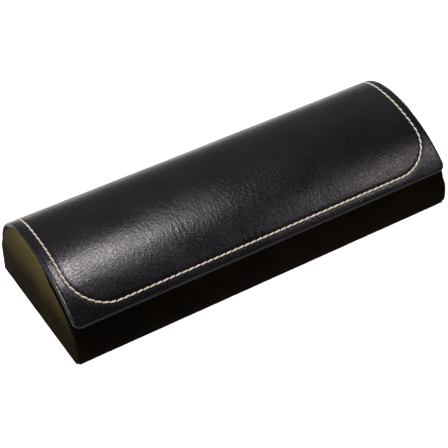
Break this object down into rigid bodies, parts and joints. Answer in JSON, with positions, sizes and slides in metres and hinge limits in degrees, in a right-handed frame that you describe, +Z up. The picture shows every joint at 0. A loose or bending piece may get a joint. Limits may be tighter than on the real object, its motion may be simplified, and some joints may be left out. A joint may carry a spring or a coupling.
{
  "type": "spectacle case",
  "caption": "Long hard spectacle case with a boxy tray, a curved leather-covered lid that ends in a magnetic flap, and a contrast stitched edge.",
  "frame": {"origin": "under the middle of the case, on the surface it stands on", "axes": "+X along the case, -Y the front where the flap ends, +Z up"},
  "size_m": [0.165, 0.0604, 0.0333],
  "materials": {
    "black_leather": "glossy smooth leather with a fine crease grain",
    "olive_leather": "matt fine-grained leather",
    "stiff_board": "dense grey board",
    "velvet_lining": "short black velvet",
    "thread": "waxed ecru twisted thread",
    "magnet": "nickel plated"
  },
  "bodies": {
    "case": {"base_cover": "black_leather", "back_cover": "black_leather", "front_cover": "black_leather", "base_board": "stiff_board", "back_board": "stiff_board", "front_board": "stiff_board", "end_board_left": "stiff_board", "end_board_right": "stiff_board", "end_wrap_left": "black_leather", "end_wrap_right": "black_leather", "end_panel_left": "olive_leather", "end_panel_right": "olive_leather", "base_lining": "velvet_lining", "back_lining": "velvet_lining", "front_lining": "velvet_lining", "end_lining_left": "velvet_lining", "end_lining_right": "velvet_lining", "tray_magnet_left": "magnet", "tray_magnet_right": "magnet", "hinge_leather": "black_leather", "hinge_lining": "velvet_lining"},
    "lid": {"lid_cover": "black_leather", "lid_board": "stiff_board", "lid_lining": "velvet_lining", "lid_magnet_left": "magnet", "lid_magnet_right": "magnet", "lid_stitching": "thread"}
  },
  "joints": [
    {"name": "lid_hinge", "type": "hinge", "parent": "case", "child": "lid", "pos_m": [0, 0.0274, 0.022], "axis": [-1, 0, 0], "range_deg": [0, 120], "deforming": ["hinge_leather", "hinge_lining"]}
  ]
}
